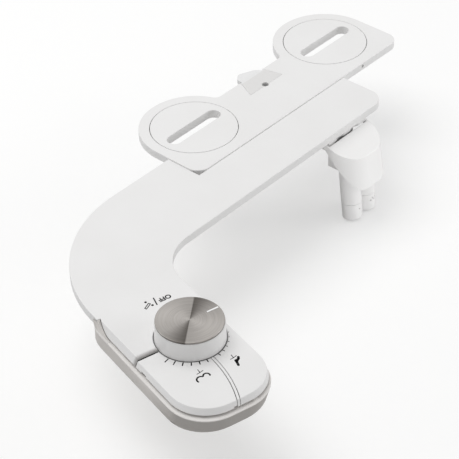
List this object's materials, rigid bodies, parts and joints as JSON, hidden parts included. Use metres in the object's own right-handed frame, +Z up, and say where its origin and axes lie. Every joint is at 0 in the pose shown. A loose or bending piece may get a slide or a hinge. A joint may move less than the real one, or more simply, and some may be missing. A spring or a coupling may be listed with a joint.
{
  "type": "bidet attachment",
  "caption": "Slim under-seat bidet attachment: slotted bolt discs, side arm with a control knob, and spring-returned nozzles behind a hinged guard.",
  "frame": {"origin": "midway between the two seat-bolt slots, on the underside that rests on the bowl rim", "axes": "+X towards the free end, away from the control arm, which is the seated user's left; +Y towards the cistern; +Z up"},
  "size_m": [0.3858, 0.2415, 0.0812],
  "materials": {
    "shell_white": "glossy warm white ABS",
    "case_grey": "satin light grey-beige ABS",
    "part_grey": "plain grey engineering plastic",
    "knob_metal": "circular brushed metal",
    "pointer_white": "white enamel line",
    "screw_steel": "plain stainless steel",
    "brass": "machined brass",
    "ceramic": "polished ceramic",
    "seal_rubber": "black rubber",
    "tube_clear": "milky flexible tube",
    "pad_rubber": "soft pale grey pad"
  },
  "bodies": {
    "plate": {"top_cover": "shell_white", "seat_plate": "shell_white", "base_plate": "case_grey", "base_screws": "screw_steel", "tongue_screws": "screw_steel", "plate_screw": "screw_steel", "rear_tab": "shell_white", "rim_pads": "pad_rubber", "control_case": "case_grey", "case_screws": "screw_steel", "rear_wash_panel": "shell_white", "front_wash_panel": "shell_white", "panel_bead": "shell_white", "knob_well": "part_grey", "valve_body": "part_grey", "valve_screws": "screw_steel", "valve_seat": "ceramic", "valve_bonnet": "brass", "inlet_connector": "brass", "inlet_locknut": "brass", "inlet_gasket": "seal_rubber", "inlet_filter": "part_grey", "rear_wash_tube": "tube_clear", "front_wash_tube": "tube_clear", "rinse_tube": "tube_clear", "nozzle_housing": "shell_white", "housing_screws": "screw_steel", "rear_sleeve": "shell_white", "front_sleeve": "shell_white", "rear_return_spring": "screw_steel", "front_return_spring": "screw_steel", "guard_hinge_pin": "screw_steel"},
    "knob": {"knob_skirt": "shell_white", "knob_cap": "knob_metal", "knob_pointer": "pointer_white", "knob_screw": "screw_steel", "valve_stem": "brass", "stem_seal": "seal_rubber", "valve_disc": "ceramic"},
    "left_bolt_disc": {"left_disc": "shell_white"},
    "right_bolt_disc": {"right_disc": "shell_white"},
    "rear_nozzle": {"rear_nozzle_tube": "part_grey", "rear_nozzle_tip": "shell_white", "rear_piston_seal": "seal_rubber"},
    "front_nozzle": {"front_nozzle_tube": "part_grey", "front_nozzle_tip": "shell_white", "front_piston_seal": "seal_rubber"},
    "guard": {"nozzle_guard": "shell_white"}
  },
  "joints": [
    {"name": "knob_turn", "type": "hinge", "parent": "plate", "child": "knob", "pos_m": [-0.229, -0.1414, 0.01], "axis": [0, 0, 1], "range_deg": [-160, 90]},
    {"name": "left_disc_turn", "type": "hinge", "parent": "plate", "child": "left_bolt_disc", "pos_m": [0.07, 0, 0.004], "axis": [0, 0, 1], "continuous": true},
    {"name": "right_disc_turn", "type": "hinge", "parent": "plate", "child": "right_bolt_disc", "pos_m": [-0.07, 0, 0.004], "axis": [0, 0, 1], "continuous": true},
    {"name": "guard_swing", "type": "hinge", "parent": "plate", "child": "guard", "pos_m": [0, -0.0793, -0.0072], "axis": [-1, 0, 0], "range_deg": [0, 85]},
    {"name": "rear_nozzle_slide", "type": "slide", "parent": "plate", "child": "rear_nozzle", "axis": [0, -0.1045, -0.9945], "range_m": [0, 0.02], "stiffness_N_per_m": 60, "springref_m": -0.01, "deforming": ["rear_return_spring"]},
    {"name": "front_nozzle_slide", "type": "slide", "parent": "plate", "child": "front_nozzle", "axis": [0, -0.1045, -0.9945], "range_m": [0, 0.02], "stiffness_N_per_m": 60, "springref_m": -0.01, "deforming": ["front_return_spring"]}
  ]
}
